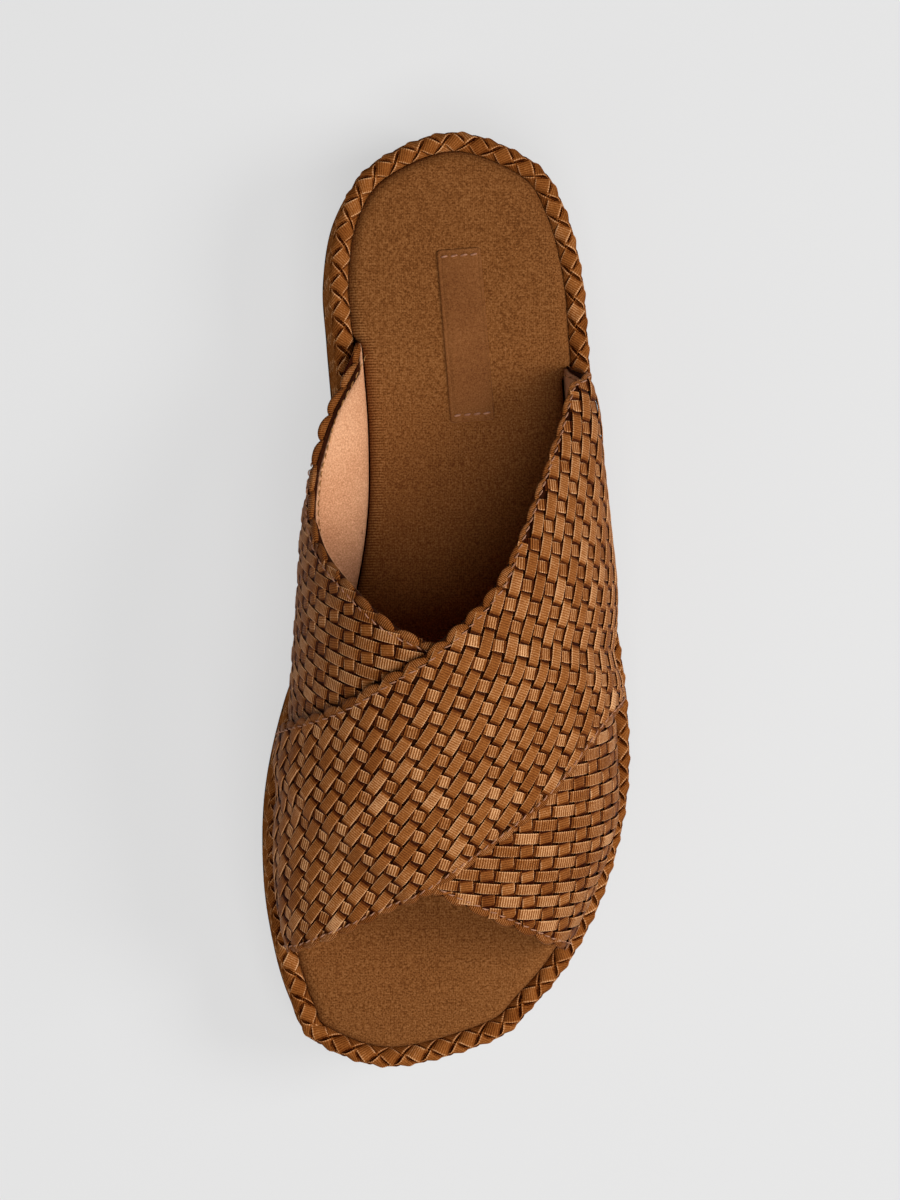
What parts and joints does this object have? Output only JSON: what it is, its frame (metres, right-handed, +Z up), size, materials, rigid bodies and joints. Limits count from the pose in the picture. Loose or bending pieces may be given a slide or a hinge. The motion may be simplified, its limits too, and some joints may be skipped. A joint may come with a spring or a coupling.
{
  "type": "platform sandal",
  "caption": "Slip-on platform sandal for a left foot with two crossing woven bands, an open toe and heel, a padded footbed, a braided rim and a plaited platform side.",
  "frame": {"origin": "centre of the sandal's box, on the floor under the outsole", "axes": "+Z up, +Y towards the heel so the toe points to -Y, +X towards the outer (little-toe) side of a left foot"},
  "size_m": [0.1038, 0.2624, 0.096],
  "materials": {
    "outsole_rubber": "matte brown rubber",
    "platform_ribbon": "plaited ribbed ribbon, caramel brown",
    "rim_ribbon": "braided ribbed ribbon, caramel brown",
    "footbed_cloth": "fine matte cloth over padding",
    "label_leather": "smooth matte leather",
    "band_ribbon": "woven ribbed ribbon, caramel brown, with a tan lining"
  },
  "bodies": {
    "root": {"outsole": "outsole_rubber", "platform": "platform_ribbon", "welt_braid": "rim_ribbon", "insole": "footbed_cloth", "insole_label": "label_leather", "upper": "band_ribbon"}
  },
  "joints": []
}
